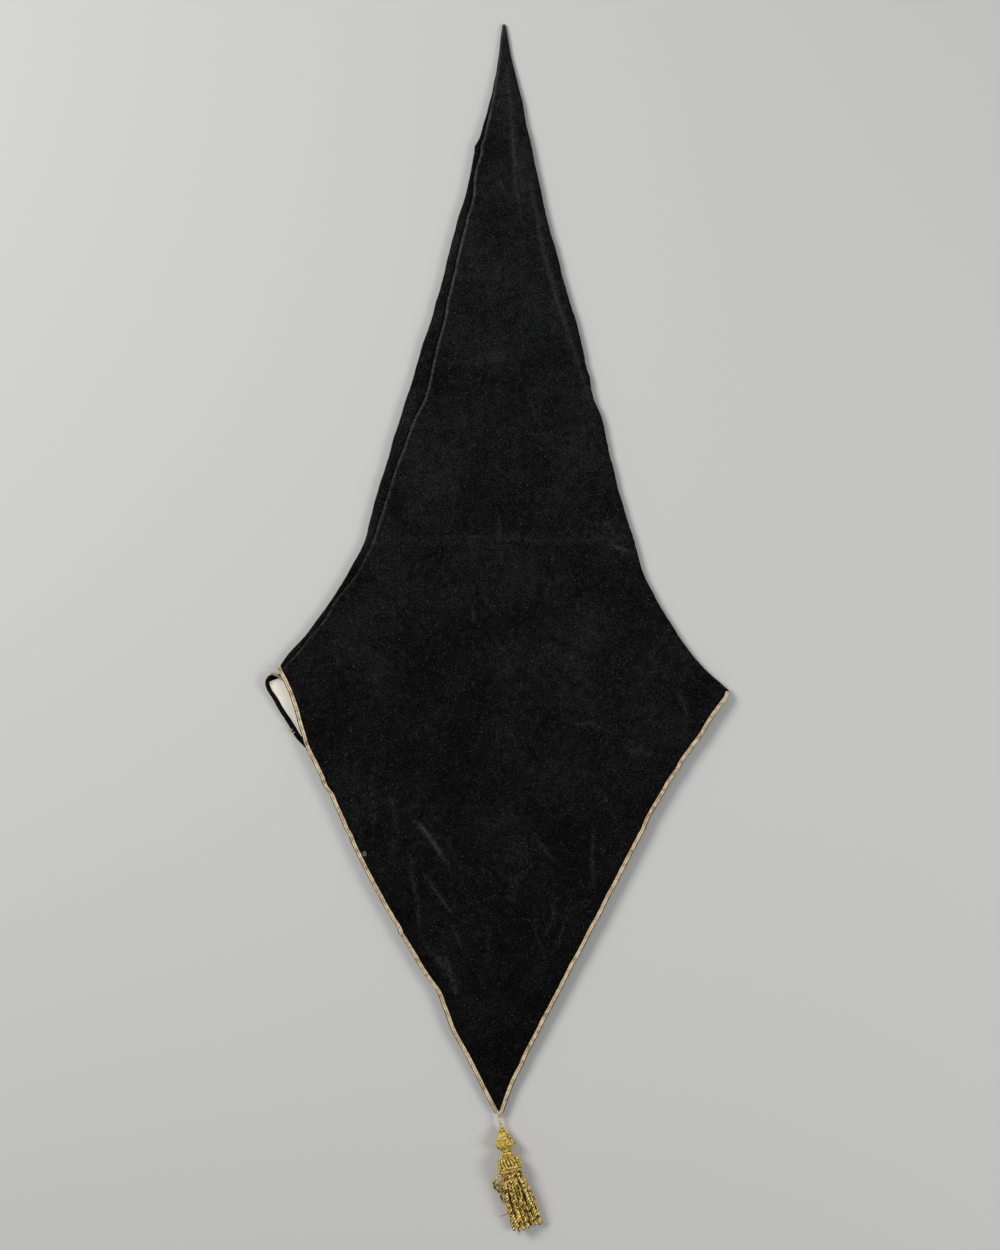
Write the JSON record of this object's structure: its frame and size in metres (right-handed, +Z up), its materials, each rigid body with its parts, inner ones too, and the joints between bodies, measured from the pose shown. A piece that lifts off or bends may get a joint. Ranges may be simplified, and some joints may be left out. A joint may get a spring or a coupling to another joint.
{
  "type": "capirote",
  "caption": "Tall pointed procession hood of black velvet lying flat, with cream lining, a pointed mouth edged in gold braid, and a gold tassel.",
  "frame": {"origin": "middle of the part's box, on the surface it lies on", "axes": "+Y towards the tip of the cone, +Z up through the cloth, the tassel towards -Y"},
  "size_m": [0.5104, 1.3269, 0.0266],
  "materials": {
    "velvet": "black cotton velvet with a short, slightly uneven nap",
    "lining": "cream woven cotton lining",
    "braid": "pale gold metallic braid with two ribs",
    "tassel": "gold metallic thread, wound on the head and twisted in the skirt"
  },
  "bodies": {
    "root": {"velvet_front": "velvet", "velvet_front_fold": "velvet", "velvet_front_tip": "velvet", "velvet_back": "velvet", "velvet_back_fold": "velvet", "velvet_back_tip": "velvet", "lining_front": "lining", "lining_back": "lining", "hem_braid_front": "braid", "hem_braid_back": "braid", "tassel_cord": "tassel", "tassel_knob": "tassel", "tassel_collar": "tassel", "tassel_dome": "tassel", "tassel_skirt": "tassel"}
  },
  "joints": []
}
